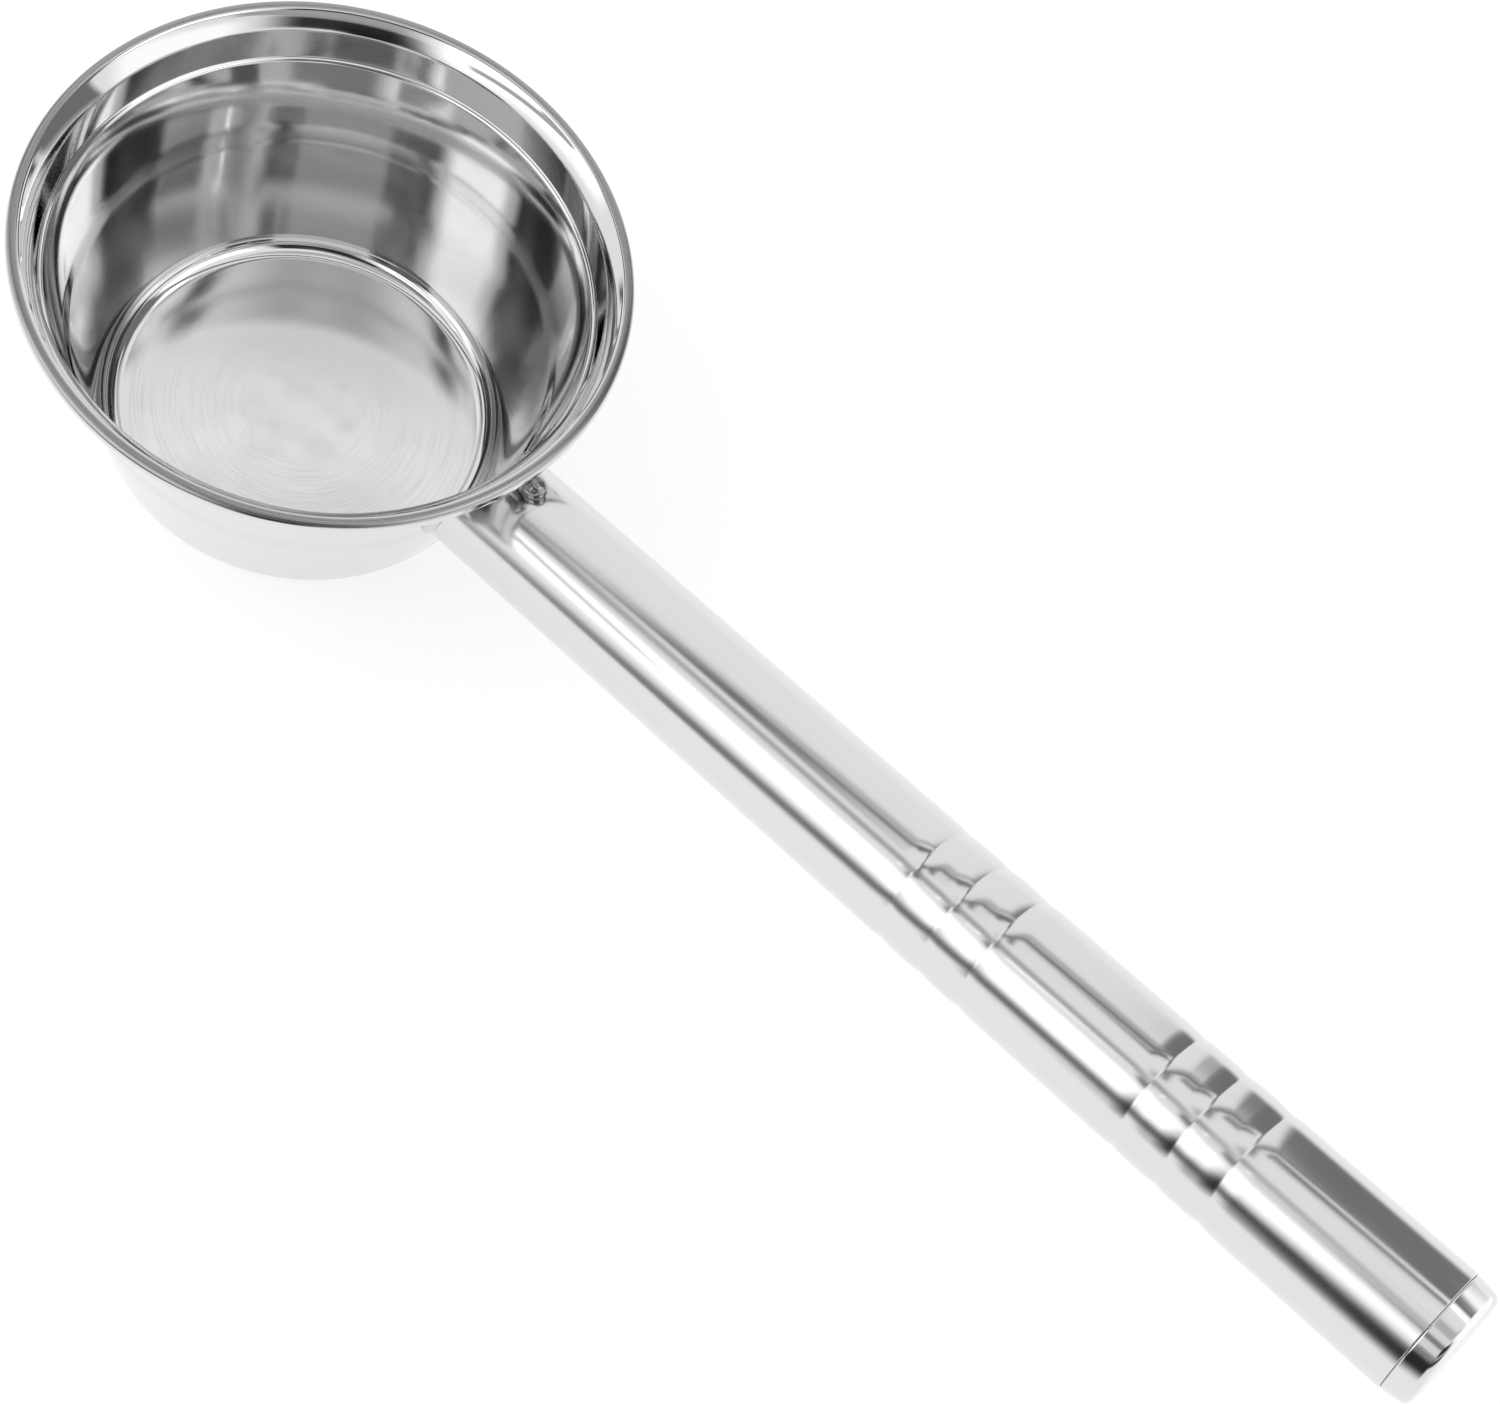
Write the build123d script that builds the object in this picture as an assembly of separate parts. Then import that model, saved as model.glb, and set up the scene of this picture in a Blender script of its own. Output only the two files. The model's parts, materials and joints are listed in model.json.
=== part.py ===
from build123d import *
import os
from math import asin, atan2, cos, degrees, hypot, radians, sin, sqrt, tan

# Bowl: one drawn sheet, sized on its water side, millimetres and degrees
bowl_sheet = 0.6
rim_diameter = 140.0
bowl_height = 70.0
curl_diameter = 3.6
curl_turn = 285.0
lip_width = 6.0
lip_rise = 4.2
lip_bend_radius = 2.0
band_height = 8.3
band_flare = 1.1
ledge_width = 0.9
ledge_rise = 0.5
ledge_edge_radius = 1.2
ledge_foot_radius = 0.6
wall_taper = 14.3
base_corner_radius = 5.4

# Handle: a thin tube, raised towards its free end, with two groups of rolled grooves
handle_diameter = 28.8
handle_wall = 0.5
handle_tilt = 14.4
handle_below_rim = 6.9
handle_reach = 333.0
groove_depth = 0.7
groove_width = 8.6
groove_pitch = 11.15
grooves_in_group = 3
group_pitch = 64.1
grooves_to_end = 45.2
mouth_gap = 0.2

# End cap: a pressed cup whose joggled spigot is pushed into the tube
cap_sheet = 0.6
cap_length = 6.0
cap_edge_radius = 1.8
cap_seam_radius = 0.5
cap_crown = 0.15
spigot_length = 9.0
spigot_clearance = 0.03
spigot_lead = 0.6

# Welds that hold the tube's mouth against the bowl
top_weld_diameter = 5.8
top_weld_overhang = 0.8
top_weld_turn = 6.0
seam_weld_length = 11.0
seam_weld_width = 4.4
under_weld_turn = 180.0
side_weld_turn = 90.0

# Points of the bowl's profile, radius and height
rim_radius = rim_diameter / 2
curl_radius = curl_diameter / 2
handle_radius = handle_diameter / 2
curl_centre = (rim_radius - curl_radius, bowl_height - curl_radius)
lip_bend = (rim_radius - lip_width, bowl_height - lip_rise)
band_foot = (lip_bend[0] - band_flare, lip_bend[1] - band_height)
ledge_edge = (band_foot[0] - ledge_width, band_foot[1] - ledge_rise)
wall_slope = tan(radians(wall_taper))
base_corner = (ledge_edge[0] - (ledge_edge[1] - bowl_sheet) * wall_slope, bowl_sheet)

# The lip is a straight flare, tangent to the curl
lip_run = curl_centre[0] - lip_bend[0]
lip_climb = curl_centre[1] - lip_bend[1]
lip_angle = atan2(lip_climb, lip_run) + asin(curl_radius / hypot(lip_run, lip_climb))
lip_end = (curl_centre[0] - curl_radius * sin(lip_angle), curl_centre[1] + curl_radius * cos(lip_angle))

# The handle's axis leaves the bowl's axis at this height and climbs at the tilt
tilt = radians(handle_tilt)
handle_top_at_rim = bowl_height - handle_below_rim
axis_height = handle_top_at_rim - handle_radius / cos(tilt) - rim_radius * tan(tilt)
handle_plane = Plane(origin=(0, 0, axis_height), x_dir=(-sin(tilt), 0, cos(tilt)), z_dir=(cos(tilt), 0, sin(tilt)))


def profile_of_bowl():
    """The water side from the base's centre to the end of the lip."""
    points = [(0, bowl_sheet), base_corner, ledge_edge, band_foot, lip_bend, lip_end]
    radii = [base_corner_radius, ledge_edge_radius, ledge_foot_radius, lip_bend_radius]
    return FilletPolyline(*points, radius=radii)


def make_bowl():
    """Drawn bowl with its hollow rim curl, revolved from the sheet's section."""
    water_side = profile_of_bowl()
    curl = CenterArc(curl_centre, curl_radius, degrees(lip_angle) + 90, -curl_turn)
    section = make_face(offset(Wire(water_side.edges() + curl.edges()), bowl_sheet, side=Side.RIGHT))
    return revolve(Plane.XZ * section, Axis.Z)


def filled_bowl(clearance):
    """The bowl's outside up to the end of the lip as a full body, grown by a clearance."""
    outside = offset(Wire(profile_of_bowl().edges()), bowl_sheet + clearance, side=Side.RIGHT, closed=False)
    foot = outside.edges().sort_by(Axis.X)[0].vertices().sort_by(Axis.X)[0]
    brim = outside.vertices().sort_by(Axis.Y)[-1]
    closing = Polyline((brim.X, brim.Y), (0, brim.Y), (0, foot.Y))
    return revolve(Plane.XZ * make_face(outside.edges() + closing.edges()), Axis.Z)


def groove_places():
    """Places of the grooves along the handle's axis, from the bowl's axis."""
    last = handle_reach - grooves_to_end
    return [
        last - group * group_pitch - groove * groove_pitch
        for group in (1, 0)
        for groove in reversed(range(grooves_in_group))
    ]


def grooved_line(radius, start):
    """One side of the tube's wall: straight runs, and grooves whose shoulders are arcs."""
    half = groove_width / 2
    edges = []
    here = start
    for place in groove_places():
        edges += Line((radius, here), (radius, place - half)).edges()
        edges += TangentArc((radius, place - half), (radius - groove_depth, place), tangent=(0, 1)).edges()
        edges += TangentArc((radius, place + half), (radius - groove_depth, place), tangent=(0, -1)).edges()
        here = place + half
    edges += Line((radius, here), (radius, handle_reach)).edges()
    return edges


def make_handle_tube():
    """Tube with rolled grooves, its front mouth shaped to the bowl's wall."""
    start = rim_radius / 2
    inner_radius = handle_radius - handle_wall
    outside = grooved_line(handle_radius, start)
    inside = grooved_line(inner_radius, start)
    front = Line((inner_radius, start), (handle_radius, start)).edges()
    back = Line((inner_radius, handle_reach), (handle_radius, handle_reach)).edges()
    section = make_face(outside + inside + front + back)
    return handle_plane.location * revolve(Plane.XZ * section, Axis.Z) - filled_bowl(mouth_gap)


def make_end_cap():
    """Pressed cup: flat end, rounded edge, crowned skirt and a spigot set in by the tube's wall."""
    end = handle_reach + cap_length
    spigot_radius = handle_radius - handle_wall - spigot_clearance
    spigot_end = handle_reach - spigot_length
    seam_radius = handle_radius - cap_crown
    edge_start = end - cap_edge_radius
    seam_end = handle_reach + cap_seam_radius
    skirt_middle = (handle_radius, (seam_end + edge_start) / 2)
    skirt_bore = seam_radius - cap_sheet
    spigot_bore = spigot_radius - cap_sheet
    inner_edge_radius = cap_edge_radius - cap_sheet
    joggle = cap_sheet
    outline = [
        Line((0, end), (seam_radius - cap_edge_radius, end)),
        TangentArc((seam_radius - cap_edge_radius, end), (seam_radius, edge_start), tangent=(1, 0)),
        ThreePointArc((seam_radius, edge_start), skirt_middle, (seam_radius, seam_end)),
        TangentArc((seam_radius - cap_seam_radius, handle_reach), (seam_radius, seam_end), tangent=(1, 0)),
        Polyline(
            (seam_radius - cap_seam_radius, handle_reach),
            (spigot_radius, handle_reach),
            (spigot_radius, spigot_end + spigot_lead),
            (spigot_radius - spigot_lead / 2, spigot_end),
            (spigot_bore, spigot_end),
            (spigot_bore, handle_reach),
            (skirt_bore, handle_reach + joggle),
            (skirt_bore, edge_start),
        ),
        TangentArc((skirt_bore, edge_start), (skirt_bore - inner_edge_radius, end - cap_sheet), tangent=(0, 1)),
        Polyline((skirt_bore - inner_edge_radius, end - cap_sheet), (0, end - cap_sheet), (0, end)),
    ]
    section = make_face([edge for line in outline for edge in line.edges()])
    return handle_plane.location * revolve(Plane.XZ * section, Axis.Z)


def handle_point(along, turn, radius):
    """A point beside the handle's axis, turned from the tube's top towards the +Y side."""
    return handle_plane.from_local_coords((radius * cos(turn), -radius * sin(turn), along))


def mouth_point(turn):
    """Where the tube's line at this turn meets the outside of the bowl's tapered wall."""
    wall_foot = base_corner[0] + bowl_sheet / cos(radians(wall_taper))
    line_start = handle_point(0, turn, handle_radius)
    grow = sin(tilt) * wall_slope
    wall_start = wall_foot + (line_start.Z - base_corner[1]) * wall_slope
    square = cos(tilt) ** 2 - grow ** 2
    linear = line_start.X * cos(tilt) - wall_start * grow
    constant = line_start.X ** 2 + line_start.Y ** 2 - wall_start ** 2
    along = (sqrt(linear ** 2 - square * constant) - linear) / square
    return handle_point(along, turn, handle_radius)


def trimmed(weld):
    """The weld metal that lies outside the bowl, its curl and the tube, as one solid."""
    tube_body = handle_plane.location * Cylinder(
        handle_radius, handle_reach, align=(Align.CENTER, Align.CENTER, Align.MIN)
    )
    curl_body = Pos(0, 0, curl_centre[1]) * Torus(curl_centre[0], curl_radius)
    rest = weld - filled_bowl(0) - curl_body - tube_body
    return rest.solids().sort_by(SortBy.VOLUME)[-1]


def make_top_weld():
    """Nugget that fills the gap between the curl's underside and the top of the tube."""
    along = (rim_radius + top_weld_overhang + handle_radius * sin(tilt)) / cos(tilt)
    gap = handle_below_rim - curl_diameter
    centre = handle_point(along, radians(top_weld_turn), handle_radius + gap / 2)
    return trimmed(Pos(centre) * Sphere(top_weld_diameter / 2))


def make_seam_weld(turn_degrees):
    """Fillet run with tapered ends along the tube's mouth, at a turn from the tube's top."""
    turn = radians(turn_degrees)
    step = radians(1)
    seam_direction = mouth_point(turn + step) - mouth_point(turn - step)
    run = Cylinder(seam_weld_width / 2, seam_weld_length)
    run = chamfer(run.edges().filter_by(GeomType.CIRCLE), seam_weld_width / 4)
    return trimmed(Plane(origin=mouth_point(turn), z_dir=seam_direction).location * run)


side_weld = make_seam_weld(side_weld_turn)

nodes = {
    "bowl": make_bowl(),
    "handle_tube": make_handle_tube(),
    "end_cap": make_end_cap(),
    "top_weld": make_top_weld(),
    "side_welds": Compound([side_weld, side_weld.mirror(Plane.XZ)]),
    "under_weld": make_seam_weld(under_weld_turn),
}

os.makedirs("parts", exist_ok=True)
for name, solid in nodes.items():
    export_step(solid, f"parts/{name}.step")
    print(name, "solids", len(solid.solids()), "volume", round(solid.volume, 1), "valid", solid.is_valid)
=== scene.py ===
"""Looks of the stainless steel water dipper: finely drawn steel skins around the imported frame.

Every length is in metres, in the frame's axes: the bowl stands on Z = 0 with its axis on Z, and the
handle climbs towards +X.
"""

import json
import logging
import math
from dataclasses import dataclass, field
from enum import Enum
from typing import Callable, Optional, Sequence

import bpy
import numpy as np
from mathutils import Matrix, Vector


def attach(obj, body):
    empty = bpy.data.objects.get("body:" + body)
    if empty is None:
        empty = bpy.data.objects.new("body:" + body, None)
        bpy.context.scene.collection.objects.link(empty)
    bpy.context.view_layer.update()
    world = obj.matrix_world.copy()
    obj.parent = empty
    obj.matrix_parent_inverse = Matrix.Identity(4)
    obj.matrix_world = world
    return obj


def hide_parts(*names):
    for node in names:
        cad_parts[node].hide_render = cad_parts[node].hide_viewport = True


LOG = logging.getLogger("dipper")
BODY = "root"
MM_IN_METRE = 1000
HALVINGS = 40
TINY = 1e-12
NOISE_RANGE = (0.3, 0.7)
STRONG_MARKS = (0.55, 0.8)
WHITE = (1.0, 1.0, 1.0, 1.0)

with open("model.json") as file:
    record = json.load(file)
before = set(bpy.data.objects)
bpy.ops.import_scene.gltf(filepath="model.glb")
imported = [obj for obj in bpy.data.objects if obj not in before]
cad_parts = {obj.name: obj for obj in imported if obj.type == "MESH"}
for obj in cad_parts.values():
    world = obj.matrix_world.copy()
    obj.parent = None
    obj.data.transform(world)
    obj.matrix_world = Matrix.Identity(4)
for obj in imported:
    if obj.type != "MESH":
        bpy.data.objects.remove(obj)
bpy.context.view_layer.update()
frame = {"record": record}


def smooth_step(values: np.ndarray, low: float, high: float) -> np.ndarray:
    """Cubic ease from 0 at low to 1 at high.

    Args:
        values: Where to evaluate the ease.
        low: Value at which it leaves 0.
        high: Value at which it reaches 1.

    Returns:
        The eased values, as an array of the same shape.
    """
    share = np.clip((values - low) / (high - low), 0.0, 1.0)
    return share * share * (3.0 - 2.0 * share)


@dataclass
class Profile:
    """A plane curve as dense points with unit normals, radius and height in each row."""

    points: np.ndarray
    normals: np.ndarray

    @property
    def lengths(self) -> np.ndarray:
        """Distance along the curve at each point."""
        steps = np.linalg.norm(np.diff(self.points, axis=0), axis=1)
        return np.concatenate([[0.0], np.cumsum(steps)])

    def moved(self, distance: float) -> "Profile":
        """The parallel curve at a distance against the normals, with the normals turned round."""
        return Profile(self.points - distance * self.normals, -self.normals)

    def reversed(self) -> "Profile":
        """The same curve, run the other way."""
        return Profile(self.points[::-1], self.normals[::-1])


def joined(parts: Sequence[Profile]) -> Profile:
    """Chain of curves, one after the other.

    Args:
        parts: The curves, in order.

    Returns:
        One curve. Where two parts meet at a crease, both end points stay, each with its own normal.
    """
    return Profile(np.concatenate([p.points for p in parts]), np.concatenate([p.normals for p in parts]))


def line(start: Sequence[float], end: Sequence[float], count: int) -> Profile:
    """Straight run whose normal lies to the left of its direction.

    Args:
        start: First point.
        end: Last point.
        count: Points along the run, both ends included.

    Returns:
        The run as a curve.
    """
    start, end = np.asarray(start, float), np.asarray(end, float)
    direction = (end - start) / np.linalg.norm(end - start)
    share = np.linspace(0.0, 1.0, count)[:, None]
    points = start + share * (end - start)
    return Profile(points, np.broadcast_to([-direction[1], direction[0]], points.shape).copy())


def arc(centre: Sequence[float], radius: float, start: float, turn: float, count: int) -> Profile:
    """Circular run: centre plus radius times (cosine, sine) of an angle that goes evenly through a turn.

    Args:
        centre: Centre of the circle.
        radius: Its radius.
        start: First angle, in radians.
        turn: Signed angle of the run. A positive one is anticlockwise.
        count: Points along the run, both ends included.

    Returns:
        The run as a curve, with normals to the left of its direction.
    """
    angles = start + turn * np.linspace(0.0, 1.0, count)
    spokes = np.stack([np.cos(angles), np.sin(angles)], axis=1)
    return Profile(np.asarray(centre) + radius * spokes, -math.copysign(1.0, turn) * spokes)


def rounded_path(corners: Sequence[Sequence[float]], radii: Sequence[float], line_points: int,
                 arc_points: int) -> Profile:
    """Straight runs joined by tangent arcs at the inner corners.

    Args:
        corners: Points of the path, ends included.
        radii: One bend radius for each inner corner.
        line_points: Points on each straight run.
        arc_points: Points on each bend.

    Returns:
        The path as a curve, with normals to the left of its direction.
    """
    corners = np.asarray(corners, float)
    parts, here = [], corners[0]
    for before, corner, after, radius in zip(corners[:-2], corners[1:-1], corners[2:], radii):
        inward = (corner - before) / np.linalg.norm(corner - before)
        outward = (after - corner) / np.linalg.norm(after - corner)
        turn = math.atan2(inward[0] * outward[1] - inward[1] * outward[0], float(inward @ outward))
        reach = radius * math.tan(abs(turn) / 2)
        side = math.copysign(1.0, turn)
        left = np.array([-inward[1], inward[0]])
        bend_start = corner - reach * inward
        centre = bend_start + side * radius * left
        start_angle = math.atan2(*(bend_start - centre)[::-1])
        parts += [line(here, bend_start, line_points), arc(centre, radius, start_angle, turn, arc_points)]
        here = corner + reach * outward
    parts.append(line(here, corners[-1], line_points))
    return joined(parts)


def new_object(name: str, points: np.ndarray, faces: list) -> bpy.types.Object:
    """Mesh object at the origin, linked to the scene.

    Args:
        name: Name of the object and its mesh.
        points: One point in each row.
        faces: The corner numbers of each face.

    Returns:
        The object.
    """
    mesh = bpy.data.meshes.new(name)
    mesh.from_pydata(points.tolist(), [], faces)
    thing = bpy.data.objects.new(name, mesh)
    bpy.context.scene.collection.objects.link(thing)
    return thing


def give_values(thing: bpy.types.Object, name: str, values: np.ndarray) -> None:
    """Stores one number or one vector for each point of an object's mesh.

    Args:
        thing: The object.
        name: Name of the mesh's attribute.
        values: The numbers, or the vectors in rows.
    """
    kind, key = ("FLOAT", "value") if values.ndim == 1 else ("FLOAT_VECTOR", "vector")
    attribute = thing.data.attributes.new(name, kind, "POINT")
    attribute.data.foreach_set(key, values.astype(np.float32).ravel())


@dataclass
class Skin:
    """A closed surface on a grid of rows and columns, with exact normals and values for its finish.

    Columns always close on themselves. Rows either close on themselves too, or end at two poles.
    """

    points: np.ndarray
    normals: np.ndarray
    grain: np.ndarray
    zones: dict[str, np.ndarray] = field(default_factory=dict)
    poles: Optional[np.ndarray] = None
    pole_normals: Optional[np.ndarray] = None

    def faces(self) -> list[list[int]]:
        """Quads between neighbouring rows and columns, and fans of triangles at the poles.

        Returns:
            The corner numbers of each face.
        """
        rows, columns = self.points.shape[:2]
        index = np.arange(rows * columns).reshape(rows, columns)
        if self.poles is None:
            index = np.concatenate([index, index[:1]])
        after = np.roll(index, -1, axis=1)
        quads = np.stack([index[:-1], after[:-1], after[1:], index[1:]], axis=-1).reshape(-1, 4)
        faces = quads.tolist()
        if self.poles is not None:
            first, last = rows * columns, rows * columns + 1
            start = np.stack([np.full(columns, first), after[0], index[0]], axis=-1)
            end = np.stack([np.full(columns, last), index[-1], after[-1]], axis=-1)
            faces += start.tolist() + end.tolist()
        return faces

    def with_poles(self, values: np.ndarray) -> np.ndarray:
        """Grid values as a flat list, with the poles taking the mean of the row beside them.

        Args:
            values: One value, or one vector, for each point of the grid.

        Returns:
            The values in the order of the mesh's points.
        """
        flat = values.reshape(-1, *values.shape[2:])
        if self.poles is None:
            return flat
        return np.concatenate([flat, values[:1].mean(axis=1), values[-1:].mean(axis=1)])

    def build(self, name: str) -> bpy.types.Object:
        """Puts the grid into a mesh object at the origin.

        Args:
            name: Name of the object and its mesh.

        Returns:
            The linked object, smooth, with its exact normals and the attributes of its finish.
        """
        points = self.points.reshape(-1, 3)
        normals = self.normals.reshape(-1, 3)
        if self.poles is not None:
            points = np.concatenate([points, self.poles])
            normals = np.concatenate([normals, self.pole_normals])
        piece = new_object(name, points, self.faces())
        piece.data.polygons.foreach_set("use_smooth", np.ones(len(piece.data.polygons), bool))
        piece.data.normals_split_custom_set_from_vertices(normals.tolist())
        for key, values in {"grain": self.grain, **self.zones}.items():
            give_values(piece, key, self.with_poles(values))
        return piece


@dataclass
class Placement:
    """A right-handed frame: an origin and three unit axes, as rows."""

    origin: np.ndarray
    axes: np.ndarray

    def points(self, local: np.ndarray) -> np.ndarray:
        """Local points as points of the object's frame."""
        return self.origin + local @ self.axes

    def vectors(self, local: np.ndarray) -> np.ndarray:
        """Local directions as directions of the object's frame."""
        return local @ self.axes


UPRIGHT = Placement(np.zeros(3), np.eye(3))


def even_turns(columns: int) -> np.ndarray:
    """Even angles round a full turn, in radians, one for each column."""
    return 2 * np.pi * np.arange(columns) / columns


def cylindrical(radius: np.ndarray | float, angles: np.ndarray | float,
                along: np.ndarray | float) -> np.ndarray:
    """Points (radius cos a, radius sin a, along), on the grid that the three values span together.

    Args:
        radius: Distance from the third axis, or a direction's part away from it.
        angles: Angle a round the third axis, in radians.
        along: Place along the third axis, or a direction's part along it.

    Returns:
        The points or directions.
    """
    parts = np.broadcast_arrays(radius * np.cos(angles), radius * np.sin(angles), along)
    return np.stack(parts, -1)


def revolved(profile: Profile, columns: int, place: Placement,
             zones: Callable[[np.ndarray], dict[str, np.ndarray]]) -> Skin:
    """Surface of revolution of a profile that runs from the axis to the axis.

    Each point (radius, height) becomes (radius cos a, radius sin a, height) for even angles a.

    Args:
        profile: Section with outward normals. Its first and last points lie on the axis.
        columns: Steps round the axis.
        place: Frame whose third axis is the axis of revolution.
        zones: Gives the finish values from the profile's inner points.

    Returns:
        The closed surface, with poles where the profile meets the axis.
    """
    profile = profile.reversed()
    inner, normals = profile.points[1:-1], profile.normals[1:-1]
    angles = even_turns(columns)
    local = cylindrical(inner[:, :1], angles, inner[:, 1:])
    facing = cylindrical(normals[:, :1], angles, normals[:, 1:])
    grain = cylindrical(1.0, angles, profile.lengths[1:-1, None])
    ends = np.array([[0.0, 0.0, profile.points[0, 1]], [0.0, 0.0, profile.points[-1, 1]]])
    end_normals = np.array([[0.0, 0.0, profile.normals[0, 1]], [0.0, 0.0, profile.normals[-1, 1]]])
    values = {name: np.repeat(value[:, None], columns, 1) for name, value in zones(inner).items()}
    return Skin(place.points(local), place.vectors(facing), grain, values, place.points(ends),
                place.vectors(end_normals))


@dataclass
class Bowl:
    """Deep-drawn bowl: one sheet from the flat base to the rolled rim."""

    sheet: float = 0.0006
    rim_radius: float = 0.070
    height: float = 0.070
    curl_radius: float = 0.0018
    curl_turn: float = math.radians(285.0)
    lip_width: float = 0.0060
    lip_rise: float = 0.0042
    lip_bend_radius: float = 0.0020
    lip_sweep: float = math.radians(8.0)
    lip_radius: float = 0.0250
    band_height: float = 0.0083
    band_flare: float = 0.0011
    ledge_width: float = 0.0009
    ledge_rise: float = 0.0005
    ledge_edge_radius: float = 0.0012
    ledge_foot_radius: float = 0.0006
    wall_taper: float = math.radians(14.3)
    draw_ring_height: float = 0.0360
    draw_ring_width: float = 0.0060
    draw_ring_taper: float = math.radians(11.2)
    draw_ring_radius: float = 0.0400
    base_corner_radius: float = 0.0054
    satin_inset: float = 0.77
    satin_fade: float = 0.0025
    satin_sheet: tuple[float, float] = (0.5, 0.9)
    brushed_from: tuple[float, float] = (60.0, 82.0)
    brushed_to: tuple[float, float] = (128.0, 156.0)
    brushed_reach: tuple[float, float] = (0.0019, 0.0024)
    columns: int = 288
    line_points: int = 4
    bend_points: int = 13
    curl_points: int = 40
    lip_rounds: int = 20

    @property
    def curl_centre(self) -> np.ndarray:
        """Centre of the rolled rim's section."""
        return np.array([self.rim_radius - self.curl_radius, self.height - self.curl_radius])

    @property
    def base_corner(self) -> np.ndarray:
        """Where the base and the wall would meet, on the water side."""
        edge = self.ledge_edge
        return np.array([edge[0] - (edge[1] - self.sheet) * math.tan(self.wall_taper), self.sheet])

    def draw_ring(self) -> list[np.ndarray]:
        """Faint ring that the last draw left: a stretch of wall that stands a little steeper.

        Returns:
            Its foot and its top, as corners of the wall's profile.
        """
        climb = self.ledge_edge[1] - self.base_corner[1]
        run = self.ledge_edge[0] - self.base_corner[0]
        steep_run = self.draw_ring_width * math.tan(self.draw_ring_taper)
        slant = (run - steep_run) / (climb - self.draw_ring_width)
        rise = self.draw_ring_height - self.draw_ring_width / 2 - self.sheet
        foot = self.base_corner + [rise * slant, rise]
        return [foot, foot + [steep_run, self.draw_ring_width]]

    @property
    def lip_bend(self) -> np.ndarray:
        """Where the band turns out into the lip."""
        return np.array([self.rim_radius - self.lip_width, self.height - self.lip_rise])

    @property
    def ledge_edge(self) -> np.ndarray:
        """Where the wall turns out into the ledge."""
        return self.lip_bend - [self.band_flare + self.ledge_width, self.band_height + self.ledge_rise]

    def water_side(self) -> Profile:
        """Curve of the water side, from the base's centre to the cut edge inside the curl.

        Straight runs and tangent bends lead up to the lip, a slight arc. Its last angle is found by rounds
        of: end point on the curl's circle, chord from the bend, chord's angle less half of the sweep.

        Returns:
            The curve, with normals to the water.
        """
        run = self.curl_centre - self.lip_bend
        lip_angle = math.atan2(run[1], run[0]) + math.asin(self.curl_radius / np.linalg.norm(run))
        for _ in range(self.lip_rounds):
            spoke = np.array([-math.sin(lip_angle), math.cos(lip_angle)])
            lip_end = self.curl_centre + self.curl_radius * spoke
            chord = lip_end - self.lip_bend
            lip_angle = math.atan2(chord[1], chord[0]) - self.lip_sweep / 2
        foot_angle = lip_angle + self.lip_sweep
        half = np.linalg.norm(chord) / 2 / math.cos(self.lip_sweep / 2)
        lip_middle = self.lip_bend + half * np.array([math.cos(foot_angle), math.sin(foot_angle)])
        band_foot = self.lip_bend - [self.band_flare, self.band_height]
        corners = [(0.0, self.sheet), self.base_corner, *self.draw_ring(), self.ledge_edge, band_foot,
                   self.lip_bend, lip_middle, lip_end]
        radii = [self.base_corner_radius, self.draw_ring_radius, self.draw_ring_radius,
                 self.ledge_edge_radius, self.ledge_foot_radius, self.lip_bend_radius, self.lip_radius]
        path = rounded_path(corners, radii, self.line_points, self.bend_points)
        curl_start = lip_angle + math.pi / 2
        curl = arc(self.curl_centre, self.curl_radius, curl_start, -self.curl_turn, self.curl_points)
        return joined([path, curl])

    def section(self) -> Profile:
        """Closed section of the sheet: water side, cut edge, and the parallel outside back to the axis.

        Returns:
            The section, with normals out of the steel.
        """
        inside = self.water_side()
        outside = inside.moved(self.sheet).reversed()
        edge = line(inside.points[-1], outside.points[0], count=3)
        return joined([inside, edge, outside])

    def outside_radius(self, heights: np.ndarray, gap: float) -> np.ndarray:
        """Radius of the bowl's outside, grown by a gap.

        Args:
            heights: Heights between the base and the lip.
            gap: How far the outside is moved out.

        Returns:
            The radius at each height.
        """
        shell = self.water_side().moved(self.sheet + gap)
        wall = shell.points[: -self.curl_points]
        order = np.argsort(wall[:, 1])
        return np.interp(heights, wall[order, 1], wall[order, 0])

    def zones(self, inner: np.ndarray) -> dict[str, np.ndarray]:
        """Where the finish changes: a satin base inside, and a brushed top of the curl that also carries a
        painted shade in its colour.

        Args:
            inner: Points of the section, radius and height in each row.

        Returns:
            The share of each finish at each point.
        """
        base_reach = self.base_corner[0] - self.satin_inset * self.base_corner_radius
        on_base = 1.0 - smooth_step(inner[:, 0], base_reach, base_reach + self.satin_fade)
        low = 1.0 - smooth_step(inner[:, 1], *(share * self.sheet for share in self.satin_sheet))
        spokes = inner - self.curl_centre
        turn = np.degrees(np.arctan2(spokes[:, 1], -spokes[:, 0]))
        on_top = smooth_step(turn, *self.brushed_from) * (1.0 - smooth_step(turn, *self.brushed_to))
        on_curl = 1.0 - smooth_step(np.linalg.norm(spokes, axis=1), *self.brushed_reach)
        return {"satin": on_base * (1.0 - low), "brushed": on_top * on_curl}

    def build(self) -> bpy.types.Object:
        """Bowl as one closed skin."""
        return revolved(self.section(), self.columns, UPRIGHT, self.zones).build("bowl_skin")


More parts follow.
